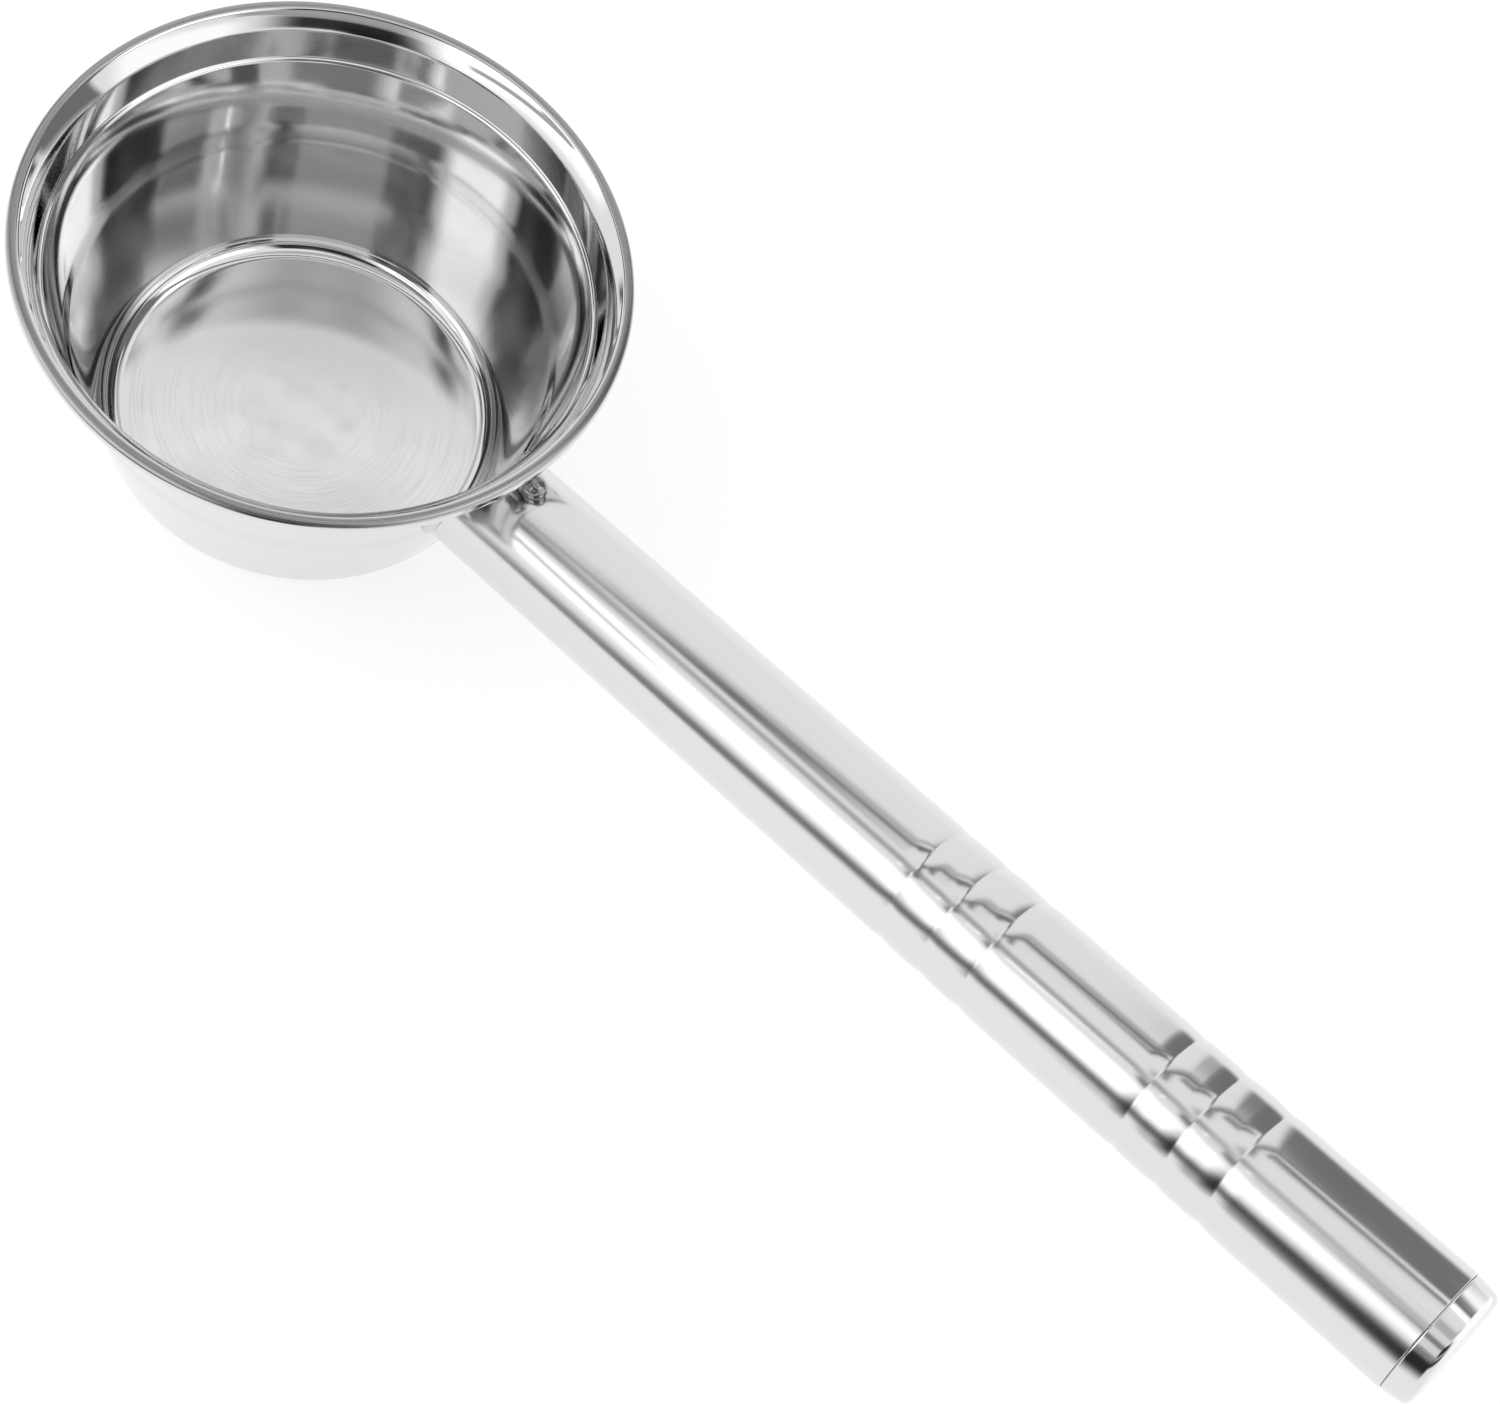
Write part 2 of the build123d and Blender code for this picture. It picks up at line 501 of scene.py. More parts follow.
@dataclass
class Handle:
    """Grooved tube with its pressed end cap, on an axis taken from the frame's handle mount."""

    bowl: Bowl
    axis_point: np.ndarray
    direction: np.ndarray
    radius: float
    wall: float = 0.0005
    reach: float = 0.3330
    groove_depth: float = 0.00035
    groove_width: float = 0.0086
    groove_pitch: float = 0.01115
    grooves_in_group: int = 3
    group_pitch: float = 0.0641
    grooves_to_end: float = 0.0452
    mouth_gap: float = 0.0002
    mouth_search: tuple[float, float] = (0.5, 1.3)
    edge_radius: float = 0.00015
    columns: int = 160
    mouth_rows: int = 12
    groove_rows: int = 21
    plain_rows: int = 60
    plain_from: float = 0.0851
    plain_margin: float = 0.0003
    cap_sheet: float = 0.0006
    cap_length: float = 0.0060
    cap_edge_radius: float = 0.0018
    cap_seam_radius: float = 0.0005
    cap_taper: float = math.radians(8.0)
    cap_drop: float = 0.00015
    cap_bore_step: float = 0.0004
    spigot_length: float = 0.0090
    spigot_clearance: float = 0.00003

    @property
    def place(self) -> Placement:
        """Frame of the tube: its origin lies on the bowl's axis.

        Returns:
            The frame: the third axis runs along the tube, the first to its top and the second to -Y.
        """
        along = self.direction / np.linalg.norm(self.direction)
        top = np.array([-along[2], 0.0, along[0]])
        origin = self.axis_point - along * (self.axis_point[0] / along[0])
        return Placement(origin, np.stack([top, np.cross(along, top), along]))

    def groove_places(self) -> np.ndarray:
        """Places of the grooves: two groups of even pitch, counted back from the tube's end.

        Returns:
            Distances along the axis, measured from the bowl's axis.
        """
        last = self.reach - self.grooves_to_end
        groups = np.array([1, 0])[:, None] * self.group_pitch
        return (last - groups - np.arange(self.grooves_in_group)[::-1] * self.groove_pitch).ravel()

    def sunk(self, along: np.ndarray) -> tuple[np.ndarray, np.ndarray]:
        """Depth and slope of the rolled grooves.

        Each half of a groove is an arc, tangent to the tube at the shoulder, and the halves meet in a V.

        Args:
            along: Places along the axis.

        Returns:
            The depth under the plain tube, and its rate of change along the axis.
        """
        half = self.groove_width / 2
        bend = (half ** 2 + self.groove_depth ** 2) / (2 * self.groove_depth)
        offset = along[..., None] - self.groove_places()
        nearest = np.take_along_axis(offset, np.abs(offset).argmin(-1)[..., None], -1)[..., 0]
        into = np.clip(half - np.abs(nearest), 0.0, half)
        depth = bend - np.sqrt(bend ** 2 - into ** 2)
        slope = -np.sign(nearest) * into / np.sqrt(bend ** 2 - into ** 2)
        return depth, slope

    def mouth(self, turns: np.ndarray, radius: float) -> np.ndarray:
        """Where lines along the tube meet the bowl's outside, by halving an interval again and again.

        Args:
            turns: Angles of the lines, from the tube's top.
            radius: Distance of the lines from the axis.

        Returns:
            Distance of each meeting point along the axis.
        """
        low, high = (np.full(turns.shape, share * self.bowl.rim_radius) for share in self.mouth_search)
        for _ in range(HALVINGS):
            middle = (low + high) / 2
            point = self.place.points(cylindrical(radius, turns, middle))
            outside = self.bowl.outside_radius(point[..., 2], self.mouth_gap)
            clear = np.hypot(point[..., 0], point[..., 1]) > outside
            low, high = np.where(clear, low, middle), np.where(clear, middle, high)
        return high

    def rows_along(self) -> np.ndarray:
        """Even rows on the plain stretches and close ones in the grooves, up to the tube's edge.

        Returns:
            Places of the rows along the axis, in order.
        """
        half = self.groove_width / 2
        fine = self.groove_places()[:, None] + np.linspace(-1.0, 1.0, self.groove_rows) * half
        plain = np.linspace(self.plain_from, self.reach - self.edge_radius, self.plain_rows)
        clear = np.abs(plain[:, None] - self.groove_places()).min(1) > half + self.plain_margin
        return np.sort(np.concatenate([fine.ravel(), plain[clear]]))

    def tube_wall(self, radius: float, outward: float) -> tuple[np.ndarray, np.ndarray, np.ndarray]:
        """One side of the tube's wall from its mouth to its end.

        A point is (r cos a, r sin a, s) with r the radius less the groove's depth at s. The first rows
        spread evenly from the bowl's wall, the rest are the same for every angle.

        Args:
            radius: Radius of the plain tube on this side.
            outward: 1 for the outside and -1 for the inside.

        Returns:
            Points, normals and places along the axis, on a grid of rows and angles.
        """
        turns = even_turns(self.columns)
        along = self.rows_along()
        front = self.mouth(turns, radius)
        share = np.linspace(0.0, 1.0, self.mouth_rows)[:-1, None]
        near = front + share * (along[0] - front)
        rows = np.concatenate([near, np.repeat(along[:, None], self.columns, 1)])
        depth, slope = self.sunk(rows)
        steep = np.sqrt(1.0 + slope ** 2)
        facing = cylindrical(1.0 / steep, turns, slope / steep)
        return cylindrical(radius - depth, turns, rows), outward * facing, rows

    def build_tube(self) -> bpy.types.Object:
        """Tube as one closed skin: outside, rounded end edge, inside and mouth.

        Returns:
            The tube's piece.
        """
        inner_radius = self.radius - self.wall
        outer, outer_normals, outer_rows = self.tube_wall(self.radius, 1.0)
        inner, inner_normals, inner_rows = self.tube_wall(inner_radius, -1.0)
        turns = even_turns(self.columns)
        middle = (self.radius + inner_radius) / 2
        edge_centre = (self.radius - self.edge_radius, self.reach - self.edge_radius)
        edge_profile = joined([
            arc(edge_centre, self.edge_radius, 0.0, math.pi / 2, count=5),
            line((middle, self.reach), (inner_radius, self.reach), count=2),
        ])
        edge = cylindrical(edge_profile.points[:, :1], turns, edge_profile.points[:, 1:])
        edge_normals = -cylindrical(edge_profile.normals[:, :1], turns, edge_profile.normals[:, 1:])
        edge_normals[-2:] = [0.0, 0.0, 1.0]
        local = np.concatenate([outer, edge, inner[::-1]])
        facing = np.concatenate([outer_normals, edge_normals, inner_normals[::-1]])
        rows = np.concatenate([outer_rows, edge[..., 2], inner_rows[::-1]])
        inside = np.zeros(rows.shape)
        inside[-len(inner_rows):] = 1.0
        grain = cylindrical(1.0, turns, rows)
        skin = Skin(self.place.points(local), self.place.vectors(facing), grain, {"satin": inside})
        return skin.build("handle_skin")

    def cap_section(self) -> Profile:
        """Section of the pressed cap: end face, tapered skirt, spigot, and back along the inside.

        Returns:
            The section, with normals out of the steel.
        """
        end = self.reach + self.cap_length
        seam_radius = self.radius - self.cap_drop
        seam_foot = np.array([seam_radius, self.reach + self.cap_seam_radius])
        skirt_normal = np.array([math.cos(self.cap_taper), math.sin(self.cap_taper)])
        edge_height = end - self.cap_edge_radius
        edge_reach = seam_foot @ skirt_normal - self.cap_edge_radius - edge_height * skirt_normal[1]
        edge_centre = np.array([edge_reach / skirt_normal[0], edge_height])
        spigot = self.radius - self.wall - self.spigot_clearance
        spigot_end = self.reach - self.spigot_length
        seam_centre = seam_foot - [self.cap_seam_radius, 0.0]
        bore = seam_radius - self.cap_sheet - self.cap_bore_step
        spigot_bore = spigot - self.cap_sheet
        inner_edge = self.cap_edge_radius - self.cap_sheet
        return joined([
            line((0.0, end), (edge_centre[0], end), count=6),
            arc(edge_centre, self.cap_edge_radius, math.pi / 2, self.cap_taper - math.pi / 2, count=12),
            line(edge_centre + self.cap_edge_radius * skirt_normal, seam_foot, count=8),
            arc(seam_centre, self.cap_seam_radius, 0.0, -math.pi / 2, count=7),
            line((seam_centre[0], self.reach), (spigot, self.reach), count=2),
            line((spigot, self.reach), (spigot, spigot_end), count=3),
            line((spigot, spigot_end), (spigot_bore, spigot_end), count=2),
            line((spigot_bore, spigot_end), (spigot_bore, self.reach), count=3),
            line((spigot_bore, self.reach), (bore, self.reach + self.cap_sheet), count=2),
            line((bore, self.reach + self.cap_sheet), (bore, edge_height), count=2),
            arc((bore - inner_edge, edge_height), inner_edge, 0.0, math.pi / 2, count=7),
            line((bore - inner_edge, end - self.cap_sheet), (0.0, end - self.cap_sheet), count=4),
        ])

    def cap_zones(self, inner: np.ndarray) -> dict[str, np.ndarray]:
        """The cap is polished all over."""
        return {"satin": np.zeros(len(inner)), "brushed": np.zeros(len(inner))}

    def build_cap(self) -> bpy.types.Object:
        """End cap as one closed skin."""
        return revolved(self.cap_section(), self.columns, self.place, self.cap_zones).build("end_cap_skin")


@dataclass
class Welds:
    """Weld metal between the bowl and the tube: a nugget on top, and short runs along the mouth."""

    handle: Handle
    nugget_length: float = 0.0062
    nugget_width: float = 0.0056
    nugget_lift: float = 0.0012
    nugget_overhang: float = 0.0010
    nugget_turn: float = math.radians(6.0)
    run_length: float = 0.0110
    run_width: float = 0.0044
    run_fullness: float = 0.8
    end_bulge: float = 0.3
    ripple: float = 0.00004
    ripples: int = 7
    columns: int = 48
    rows: int = 40

    def bead(self, spine: np.ndarray, across: np.ndarray, upward: np.ndarray,
             half_width: np.ndarray) -> Skin:
        """Round bead along a spine: circles whose radius is the half width plus faint ripples.

        Args:
            spine: Points along the bead, one for each row.
            across: Unit vectors across the bead.
            upward: Unit vectors out of the joint.
            half_width: Half of the bead's width at each row.

        Returns:
            The closed skin, with poles at the ends of the spine.
        """
        rows = len(spine)
        angles = even_turns(self.columns)
        along = np.linspace(0.0, 1.0, rows)
        wave = np.sin(2 * np.pi * self.ripples * along) * np.sin(np.pi * along)
        swell = half_width + self.ripple * wave
        ring = np.cos(angles)[:, None] * across[:, None, :] + np.sin(angles)[:, None] * upward[:, None, :]
        points = spine[:, None, :] + swell[:, None, None] * ring
        forward = np.gradient(points, axis=0)
        around = np.roll(points, -1, axis=1) - np.roll(points, 1, axis=1)
        normals = np.cross(around, forward)
        normals /= np.maximum(np.linalg.norm(normals, axis=-1, keepdims=True), TINY)
        facing = np.sign((normals * ring).sum(-1, keepdims=True))
        normals = normals * np.where(facing == 0.0, 1.0, facing)
        tangents = np.stack([spine[0] - spine[1], spine[-1] - spine[-2]])
        tangents /= np.linalg.norm(tangents, axis=1, keepdims=True)
        ends = np.stack([spine[0], spine[-1]]) + tangents * half_width[[0, -1], None] * self.end_bulge
        if np.linalg.det(np.stack([across[0], upward[0], spine[1] - spine[0]])) < 0:
            points, normals = points[:, ::-1], normals[:, ::-1]
        return Skin(points, normals, points, {}, ends, tangents)

    def build_nugget(self) -> bpy.types.Object:
        """Nugget between the curl's underside and the top of the tube: an ellipsoid with faint ripples.

        Returns:
            The nugget's piece.
        """
        handle, place = self.handle, self.handle.place
        tilt = math.asin(place.axes[2, 2])
        past_rim = handle.bowl.rim_radius + self.nugget_overhang
        along = (past_rim + handle.radius * math.sin(tilt)) / math.cos(tilt)
        share = np.cos(np.linspace(0.0, np.pi, self.rows)[1:-1])
        half = self.nugget_width / 2 * np.sqrt(1.0 - share ** 2)
        level = handle.radius + self.nugget_lift
        turn, flat = -self.nugget_turn, np.zeros_like(share)
        spine = place.points(cylindrical(level, turn, along - share * self.nugget_length / 2))
        across = place.vectors(cylindrical(1.0, turn + math.pi / 2, flat))
        upward = place.vectors(cylindrical(1.0, turn, flat))
        return self.bead(spine, across, upward, half).build("top_weld_bead")

    def build_run(self, name: str, turn: float) -> bpy.types.Object:
        """Run along the mouth, centred at a turn from the tube's top.

        Args:
            name: Name of the piece.
            turn: Angle round the tube, in radians.

        Returns:
            The bead, which follows the corner between the tube and the bowl.
        """
        handle, place = self.handle, self.handle.place
        share = np.linspace(-1.0, 1.0, self.rows)[1:-1]
        turns = turn + share * self.run_length / 2 / handle.radius
        spine = place.points(cylindrical(handle.radius, turns, handle.mouth(turns, handle.radius)))
        from_tube = place.vectors(cylindrical(1.0, turns, 0.0))
        forward = np.gradient(spine, axis=0)
        forward /= np.linalg.norm(forward, axis=1, keepdims=True)
        across = from_tube - (from_tube * forward).sum(1, keepdims=True) * forward
        across /= np.linalg.norm(across, axis=1, keepdims=True)
        upward = np.cross(forward, across)
        half = self.run_fullness * self.run_width / 2 * np.sqrt(1.0 - share ** 2)
        return self.bead(spine, across, upward, half).build(name)


class Node(Enum):
    """Shader nodes that the finishes and the flags use."""

    ATTRIBUTE = "ShaderNodeAttribute"
    NOISE = "ShaderNodeTexNoise"
    MATH = "ShaderNodeMath"
    RANGE = "ShaderNodeMapRange"
    VECTOR = "ShaderNodeVectorMath"
    COORDINATES = "ShaderNodeTexCoord"
    BUMP = "ShaderNodeBump"
    MIX = "ShaderNodeMix"
    GLOW = "ShaderNodeEmission"
    CLEAR = "ShaderNodeBsdfTransparent"
    MIX_SHADER = "ShaderNodeMixShader"


class NodeSheet:
    """Thin helper that adds and links the nodes of one material."""

    def __init__(self, name: str) -> None:
        """Starts a material with only its shader and its output.

        Args:
            name: Name of the material.
        """
        self.material = bpy.data.materials.new(name)
        self.material.use_nodes = True
        self.tree = self.material.node_tree
        self.shader = self.tree.nodes["Principled BSDF"]
        self.output = self.tree.nodes["Material Output"]

    def fill(self, node: bpy.types.Node, **sockets: object) -> bpy.types.Node:
        """Fills a node's properties and sockets with values or with other nodes' sockets.

        Args:
            node: The node.
            sockets: Values by name, with the spaces of a name written as underscores. A socket that shares
                its name with others is written as an underscore and its number.

        Returns:
            The same node.
        """
        for key, value in sockets.items():
            if hasattr(node, key):
                setattr(node, key, value)
                continue
            socket = node.inputs[int(key[1:]) if key[1:].isdigit() else key.replace("_", " ")]
            if isinstance(value, bpy.types.NodeSocket):
                self.tree.links.new(value, socket)
            else:
                socket.default_value = value
        return node

    def add(self, kind: Node, **sockets: object) -> bpy.types.Node:
        """Adds a node and fills it."""
        return self.fill(self.tree.nodes.new(kind.value), **sockets)

    def math(self, operation: str, *values: object) -> bpy.types.NodeSocket:
        """Result of one calculation on numbers or sockets."""
        places = {f"_{place}": value for place, value in enumerate(values)}
        return self.add(Node.MATH, operation=operation, **places).outputs[0]

    def attribute(self, name: str, output: str) -> bpy.types.NodeSocket:
        """Output of a named attribute of the mesh."""
        return self.add(Node.ATTRIBUTE, attribute_name=name).outputs[output]

    def position(self) -> bpy.types.NodeSocket:
        """Place on the piece, in the object's own coordinates."""
        return self.add(Node.COORDINATES).outputs["Object"]

    def noise(self, vector: bpy.types.NodeSocket, scale: float, detail: float) -> bpy.types.NodeSocket:
        """Noise between 0 and 1 at a scale."""
        return self.add(Node.NOISE, Vector=vector, Scale=scale, Detail=detail).outputs["Fac"]

    def stretched(self, vector: bpy.types.NodeSocket, factors: Sequence[float]) -> bpy.types.NodeSocket:
        """A vector times a factor on each axis."""
        return self.add(Node.VECTOR, operation="MULTIPLY", _0=vector, _1=factors).outputs[0]

    def ranged(self, value: bpy.types.NodeSocket, low: float, high: float, to_low: float,
               to_high: float) -> bpy.types.NodeSocket:
        """A value carried from one range to another, held at its ends."""
        ends = {"From_Min": low, "From_Max": high, "To_Min": to_low, "To_Max": to_high}
        return self.add(Node.RANGE, Value=value, **ends).outputs["Result"]


@dataclass(frozen=True)
class PolishedSteel:
    """Polished stainless sheet: faint drawing marks, a satin zone, and a brushed zone by attribute whose
    colour is darkened as painted shade.
    """

    name: str
    colour: tuple[float, float, float, float] = (0.72, 0.72, 0.72, 1.0)
    # Darker grey painted on the brushed zone as shade
    brushed_shade_colour: tuple[float, float, float, float] = (0.34, 0.34, 0.34, 1.0)
    polish: float = 0.035
    polish_spread: float = 0.03
    satin: float = 0.10
    brushed: float = 0.22
    mark_stretch: tuple[float, float, float] = (2.0, 2.0, 2600.0)
    mark_detail: float = 3.0
    blotch_scale: float = 55.0
    blotch_detail: float = 4.0
    streak: float = 0.15
    waviness: float = 0.00004
    polish_depth: float = 0.015
    satin_depth: float = 0.02
    brushed_depth: float = 0.25

    def material(self) -> bpy.types.Material:
        """Builds the material: blotches and marks drive the roughness, marks drive the bump, and the
        brushed zone gets a painted shade in its colour.

        Returns:
            The material.
        """
        sheet = NodeSheet(self.name)
        grain = sheet.attribute("grain", "Vector")
        marks = sheet.noise(sheet.stretched(grain, self.mark_stretch), scale=1.0, detail=self.mark_detail)
        blotches = sheet.noise(sheet.position(), self.blotch_scale, self.blotch_detail)
        satin = sheet.attribute("satin", "Fac")
        brushed = sheet.attribute("brushed", "Fac")
        worn = sheet.ranged(blotches, *NOISE_RANGE, self.polish, self.polish + self.polish_spread)
        scored = sheet.ranged(marks, *STRONG_MARKS, 0.0, self.polish_spread)
        rough = sheet.math("ADD", sheet.math("MULTIPLY", satin, self.satin),
                           sheet.math("MULTIPLY", brushed, self.brushed))
        streaks = sheet.ranged(marks, *NOISE_RANGE, 1.0 - self.streak, 1.0 + self.streak)
        zoned = sheet.math("MULTIPLY", rough, streaks)
        roughness = sheet.math("ADD", sheet.math("ADD", worn, scored), zoned)
        depth = sheet.math("ADD", sheet.math("MULTIPLY", satin, self.satin_depth),
                           sheet.math("MULTIPLY", brushed, self.brushed_depth))
        strength = sheet.math("ADD", depth, self.polish_depth)
        bump = sheet.add(Node.BUMP, Strength=strength, Distance=self.waviness, Height=marks)
        # Painted shade: the brushed zone's colour mixes towards the darker grey, streaked by the marks
        share = sheet.math("MULTIPLY", brushed, streaks)
        shaded_tint = sheet.add(Node.MIX, data_type="RGBA", _0=share, _6=self.colour, _7=self.brushed_shade_colour)
        sheet.fill(sheet.shader, Base_Color=shaded_tint.outputs[2], Metallic=1.0, Roughness=roughness,
                   Normal=bump.outputs["Normal"])
        return sheet.material


@dataclass(frozen=True)
class WeldMetal:
    """Weld metal as laid: smooth, a little dull, mottled."""

    name: str
    colour: tuple[float, float, float, float] = (0.30, 0.30, 0.30, 1.0)
    smooth: float = 0.14
    dull: float = 0.30
    mottle_scale: float = 420.0
    mottle_detail: float = 2.0
    mottle_strength: float = 0.12
    mottle_depth: float = 0.0001

    def material(self) -> bpy.types.Material:
        """Builds the material: one mottle drives the roughness and the bump.

        Returns:
            The material.
        """
        sheet = NodeSheet(self.name)
        mottle = sheet.noise(sheet.position(), self.mottle_scale, self.mottle_detail)
        roughness = sheet.ranged(mottle, *NOISE_RANGE, self.smooth, self.dull)
        bump = sheet.add(Node.BUMP, Strength=self.mottle_strength, Distance=self.mottle_depth,
                         Height=mottle)
        sheet.fill(sheet.shader, Base_Color=self.colour, Metallic=1.0, Roughness=roughness,
                   Normal=bump.outputs["Normal"])
        return sheet.material


@dataclass(frozen=True)
class Flag:
    """A flat studio flag with soft edges, seen by the metal alone."""

    name: str
    centre: tuple[float, float, float]
    across: tuple[float, float, float]
    upward: tuple[float, float, float]
    level: float
    softness: float = 0.5
    steps: int = 24

    def surface(self, wide: np.ndarray, high: np.ndarray) -> np.ndarray:
        """Points of the flat flag: centre + wide / 2 times across + high / 2 times upward.

        Args:
            wide: Shares from -1 to 1 of the half width.
            high: Shares from -1 to 1 of the half height.

        Returns:
            The points, on the same grid.
        """
        points = np.array(self.centre) + wide[..., None] / 2 * np.array(self.across)
        return points + high[..., None] / 2 * np.array(self.upward)

    def build(self) -> bpy.types.Object:
        """Flag as an even grid whose cover eases from the middle to nothing at the edges.

        Returns:
            The flag, hidden from the camera, from matt surfaces and from shadows.
        """
        share = np.linspace(-1.0, 1.0, self.steps + 1)
        wide, high = np.meshgrid(share, share, indexing="ij")
        points = self.surface(wide, high)
        cover = smooth_step(1.0 - np.abs(wide), 0.0, self.softness)
        cover *= smooth_step(1.0 - np.abs(high), 0.0, self.softness)
        index = np.arange(points.shape[0] * points.shape[1]).reshape(points.shape[:2])
        corners = [index[:-1, :-1], index[1:, :-1], index[1:, 1:], index[:-1, 1:]]
        quads = np.stack(corners, -1).reshape(-1, 4)
        flag = new_object(self.name, points.reshape(-1, 3), quads.tolist())
        give_values(flag, "cover", cover.ravel())
        flag.data.materials.append(self.material())
        flag.visible_camera = False
        flag.visible_diffuse = False
        flag.visible_shadow = False
        return flag

    def material(self) -> bpy.types.Material:
        """A steady level of grey, clear where the flag's cover ends.

        Returns:
            The material.
        """
        sheet = NodeSheet(self.name)
        clear = sheet.add(Node.CLEAR).outputs[0]
        glow = sheet.add(Node.GLOW, Strength=self.level).outputs[0]
        mix = sheet.add(Node.MIX_SHADER, _0=sheet.attribute("cover", "Fac"), _1=clear, _2=glow)
        sheet.fill(sheet.output, Surface=mix.outputs[0])
        sheet.tree.nodes.remove(sheet.shader)
        return sheet.material


@dataclass(frozen=True)
class DomeFlag(Flag):
    """A flag bent to a patch of a sphere round the bowl.

    Its centre is (azimuth, elevation, distance). The first value of across is its span in azimuth and the
    second value of upward is its span in elevation. The angles are in degrees.
    """

    def surface(self, wide: np.ndarray, high: np.ndarray) -> np.ndarray:
        """Points of the patch: distance times (cos e cos a, cos e sin a, sin e).

        Args:
            wide: Shares from -1 to 1 of the half span in azimuth a.
            high: Shares from -1 to 1 of the half span in elevation e.

        Returns:
            The points, on the same grid.
        """
        turn = np.radians(self.centre[0] + wide * self.across[0] / 2)
        rise = np.radians(self.centre[1] + high * self.upward[1] / 2)
        return self.centre[2] * cylindrical(np.cos(rise), turn, np.sin(rise))


# Flags round the dipper: name, centre, two spans, level of grey and softness of the edges
FLAGS = (
    Flag("gap_by_camera", (-0.10, -0.215, 0.570), (1.1, 0.0, 0.0), (0.0, 0.140, 0.054), 0.36, 0.9),
    Flag("dark_far_side", (0.225, 0.50, 0.50), (0.40, 0.0, 0.0), (-0.31, 0.0, 0.95), 0.20, 0.25),
    Flag("lamp_face", (-0.26, -0.60, 0.50), (1.36, 0.0, 0.0), (0.0, 0.0, 0.66), 1.75, 0.6),
    Flag("near_horizon", (0.10, -0.425, 0.110), (1.1, -0.68, 0.62), (0.0, 0.0, 0.22), 0.16, 0.9),
    Flag("near_dark_end", (0.36, -0.40, 0.215), (0.48, 0.0, 0.17), (0.0, 0.0, 0.48), 0.02, 0.75),
    Flag("thin_dark_diagonal", (-0.100, 0.106, 0.600), (1.2, 0.91, 0.0), (-0.051, 0.068, 0.0), 0.05, 0.8),
    DomeFlag("grey_behind", (133.0, 54.5, 12.0), (110.0, 0.0, 0.0), (0.0, 7.0, 0.0), 0.50, 0.2),
    DomeFlag("dark_left_of_grey", (90.0, 54.0, 11.0), (28.0, 0.0, 0.0), (0.0, 9.0, 0.0), 0.08, 0.6),
    DomeFlag("dark_right_of_grey", (181.0, 54.5, 11.0), (28.0, 0.0, 0.0), (0.0, 8.0, 0.0), 0.20, 0.4),
    DomeFlag("dark_low_left", (75.0, 41.0, 10.0), (60.0, 0.0, 0.0), (0.0, 14.0, 0.0), 0.06, 0.25),
    DomeFlag("dark_low_right", (195.0, 40.0, 10.0), (40.0, 0.0, 0.0), (0.0, 10.0, 0.0), 0.06, 0.25),
    DomeFlag("dark_by_camera", (-47.0, 50.0, 11.0), (72.0, 0.0, 0.0), (0.0, 24.0, 0.0), 0.03, 0.25),
    DomeFlag("grey_by_camera", (-43.0, 35.0, 10.0), (136.0, 0.0, 0.0), (0.0, 9.0, 0.0), 0.45, 0.2),
    DomeFlag("black_for_lip", (-44.0, 24.0, 9.0), (74.0, 0.0, 0.0), (0.0, 18.0, 0.0), 0.04, 0.5),
    DomeFlag("bright_over_handle", (24.0, 51.0, 10.0), (66.0, 0.0, 0.0), (0.0, 17.0, 0.0), 2.3, 0.4),
    DomeFlag("bright_lip_side", (18.5, 22.0, 0.47), (53.0, 0.0, 0.0), (0.0, 36.0, 0.0), 1.35, 0.4),
    DomeFlag("bright_slit", (-131.0, 55.0, 9.0), (3.0, 0.0, 0.0), (0.0, 14.0, 0.0), 3.0, 0.5),
    DomeFlag("dark_over_far_band", (133.0, 65.5, 9.0), (62.0, 0.0, 0.0), (0.0, 6.0, 0.0), 0.08, 0.3),
    DomeFlag("bright_for_base", (133.0, 60.2, 8.5), (80.0, 0.0, 0.0), (0.0, 6.0, 0.0), 1.25, 0.6),
    DomeFlag("bright_beside_band", (78.0, 65.0, 10.0), (36.0, 0.0, 0.0), (0.0, 7.0, 0.0), 2.3, 0.4),
    DomeFlag("grey_overhead", (-47.0, 80.0, 8.0), (220.0, 0.0, 0.0), (0.0, 18.0, 0.0), 0.55, 0.4),
    DomeFlag("grey_left_of_camera", (-97.0, 56.5, 10.5), (44.0, 0.0, 0.0), (0.0, 11.0, 0.0), 0.22, 0.35),
    DomeFlag("dark_left_horizon", (180.0, 11.0, 9.0), (36.0, 0.0, 0.0), (0.0, 16.0, 0.0), 0.04, 0.3),
    DomeFlag("dark_far_horizon", (82.0, 12.0, 9.0), (28.0, 0.0, 0.0), (0.0, 18.0, 0.0), 0.04, 0.3),
    DomeFlag("grey_before_lamp", (-113.0, 46.6, 0.231), (58.0, 0.0, 0.0), (0.0, 5.5, 0.0), 0.48, 0.2),
)


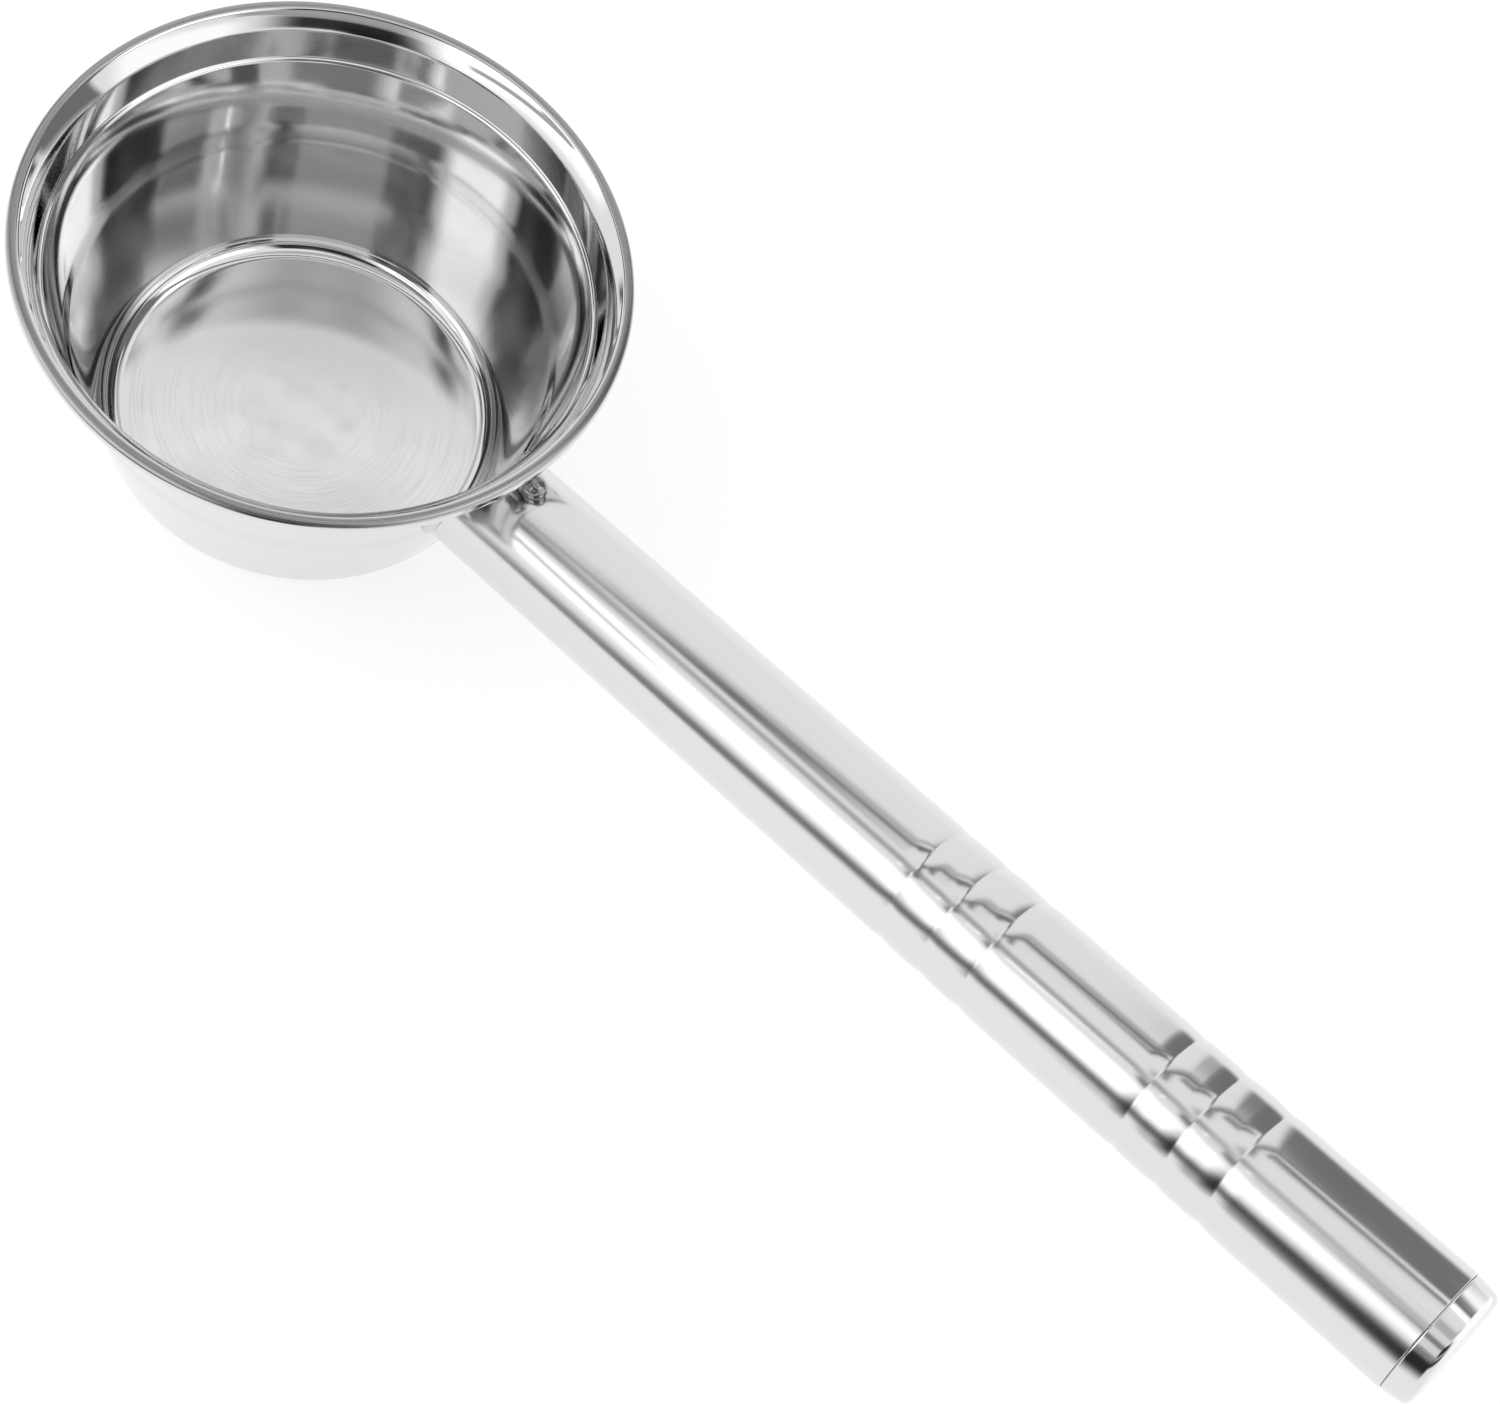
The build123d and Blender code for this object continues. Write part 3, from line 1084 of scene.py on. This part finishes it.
@dataclass
class Studio:
    """White room, flags dark and bright, a soft lamp, and the camera of the photograph."""

    camera_place: tuple[float, float, float] = (0.228359, -0.246305, 0.561225)
    camera_turn: tuple[float, float, float] = (24.850, -14.0857, 47.322)
    lens: float = 62.08
    sensor: float = 36.0
    nearest: float = 0.01
    floor_half: float = 3.0
    floor_drop: float = 0.0003
    floor_shade: tuple[float, float, float, float] = (0.30, 0.30, 0.30, 1.0)
    floor_glow: float = 0.72
    floor_roughness: float = 0.9
    lamp_place: tuple[float, float, float] = (-0.55, -0.75, 1.10)
    lamp_size: float = 0.80
    lamp_power: float = 6.0
    flags: tuple[Flag, ...] = FLAGS

    def build_camera(self) -> None:
        """Camera at the photograph's place and angle."""
        data = bpy.data.cameras.new("camera")
        data.lens = self.lens
        data.sensor_width = self.sensor
        data.clip_start = self.nearest
        camera = bpy.data.objects.new("camera", data)
        camera.location = self.camera_place
        camera.rotation_euler = [math.radians(angle) for angle in self.camera_turn]
        bpy.context.scene.collection.objects.link(camera)
        bpy.context.scene.camera = camera

    def build_world(self) -> None:
        """White surroundings for the eye, the metal and the floor alike."""
        world = bpy.data.worlds.new("white_room")
        world.use_nodes = True
        bpy.context.scene.world = world
        background = world.node_tree.nodes["Background"]
        background.inputs["Color"].default_value = WHITE
        background.inputs["Strength"].default_value = 1.0

    def build_lamp(self) -> None:
        """Soft lamp for the floor's shadow. The metal sees its face as a flag with soft edges instead."""
        data = bpy.data.lights.new("soft_lamp", "AREA")
        data.shape = "SQUARE"
        data.size = self.lamp_size
        data.energy = self.lamp_power
        lamp = bpy.data.objects.new("soft_lamp", data)
        lamp.location = self.lamp_place
        lamp.rotation_euler = Vector(self.lamp_place).to_track_quat("Z", "Y").to_euler()
        lamp.visible_camera = False
        lamp.visible_glossy = False
        bpy.context.scene.collection.objects.link(lamp)

    def build_floor(self) -> None:
        """Pale floor with a glow of its own, so that it is white with a faint soft shadow."""
        half, low = self.floor_half, -self.floor_drop
        corners = np.array([(-half, -half, low), (half, -half, low), (half, half, low), (-half, half, low)])
        floor = new_object("floor", corners, [(0, 1, 2, 3)])
        sheet = NodeSheet("pale_floor")
        sheet.fill(sheet.shader, Base_Color=self.floor_shade, Roughness=self.floor_roughness,
                   Specular_IOR_Level=0.0, Emission_Color=WHITE, Emission_Strength=self.floor_glow)
        floor.data.materials.append(sheet.material)

    def build(self) -> None:
        """Sets up the whole studio."""
        self.build_camera()
        self.build_world()
        self.build_lamp()
        self.build_floor()
        for flag in self.flags:
            flag.build()
        bpy.context.scene.view_settings.view_transform = "Standard"


def dress(piece: bpy.types.Object, finish: bpy.types.Material, node: str) -> None:
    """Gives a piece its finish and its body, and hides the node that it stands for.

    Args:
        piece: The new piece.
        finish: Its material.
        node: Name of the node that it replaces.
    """
    piece.data.materials.append(finish)
    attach(piece, BODY)
    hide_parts(node)
    LOG.info("%s stands for %s, %d faces", piece.name, node, len(piece.data.polygons))


def handle_mount() -> dict:
    """The frame's handle mount: a point, a direction and a radius."""
    return next(mount for mount in frame["record"]["mounts"] if mount["name"] == "handle")


def main() -> None:
    """Builds the dipper's skins, the finishes and the studio."""
    logging.basicConfig(level=logging.INFO, format="%(name)s: %(message)s")
    mount = handle_mount()
    bowl = Bowl()
    radius = mount["dims"]["r_mm"] / MM_IN_METRE
    handle = Handle(bowl, np.array(mount["pos_m"]), np.array(mount["axis"]), radius)
    welds = Welds(handle)
    bowl_steel = PolishedSteel("drawn_bowl_steel").material()
    tube_steel = PolishedSteel("handle_tube_steel", polish=0.14, mark_stretch=(60.0, 60.0, 6.0)).material()
    cap_steel = PolishedSteel("end_cap_steel", polish=0.12).material()
    weld_metal = WeldMetal("weld_metal").material()
    ground_weld = WeldMetal("ground_weld_metal", colour=(0.66, 0.66, 0.66, 1.0)).material()
    dress(bowl.build(), bowl_steel, "bowl")
    dress(handle.build_tube(), tube_steel, "handle_tube")
    dress(handle.build_cap(), cap_steel, "end_cap")
    dress(welds.build_nugget(), weld_metal, "top_weld")
    dress(welds.build_run("under_weld_bead", math.pi), ground_weld, "under_weld")
    for side, name in ((1.0, "near_side_weld_bead"), (-1.0, "far_side_weld_bead")):
        dress(welds.build_run(name, side * math.pi / 2), ground_weld, "side_welds")
    Studio().build()


if __name__ == "__main__":
    main()
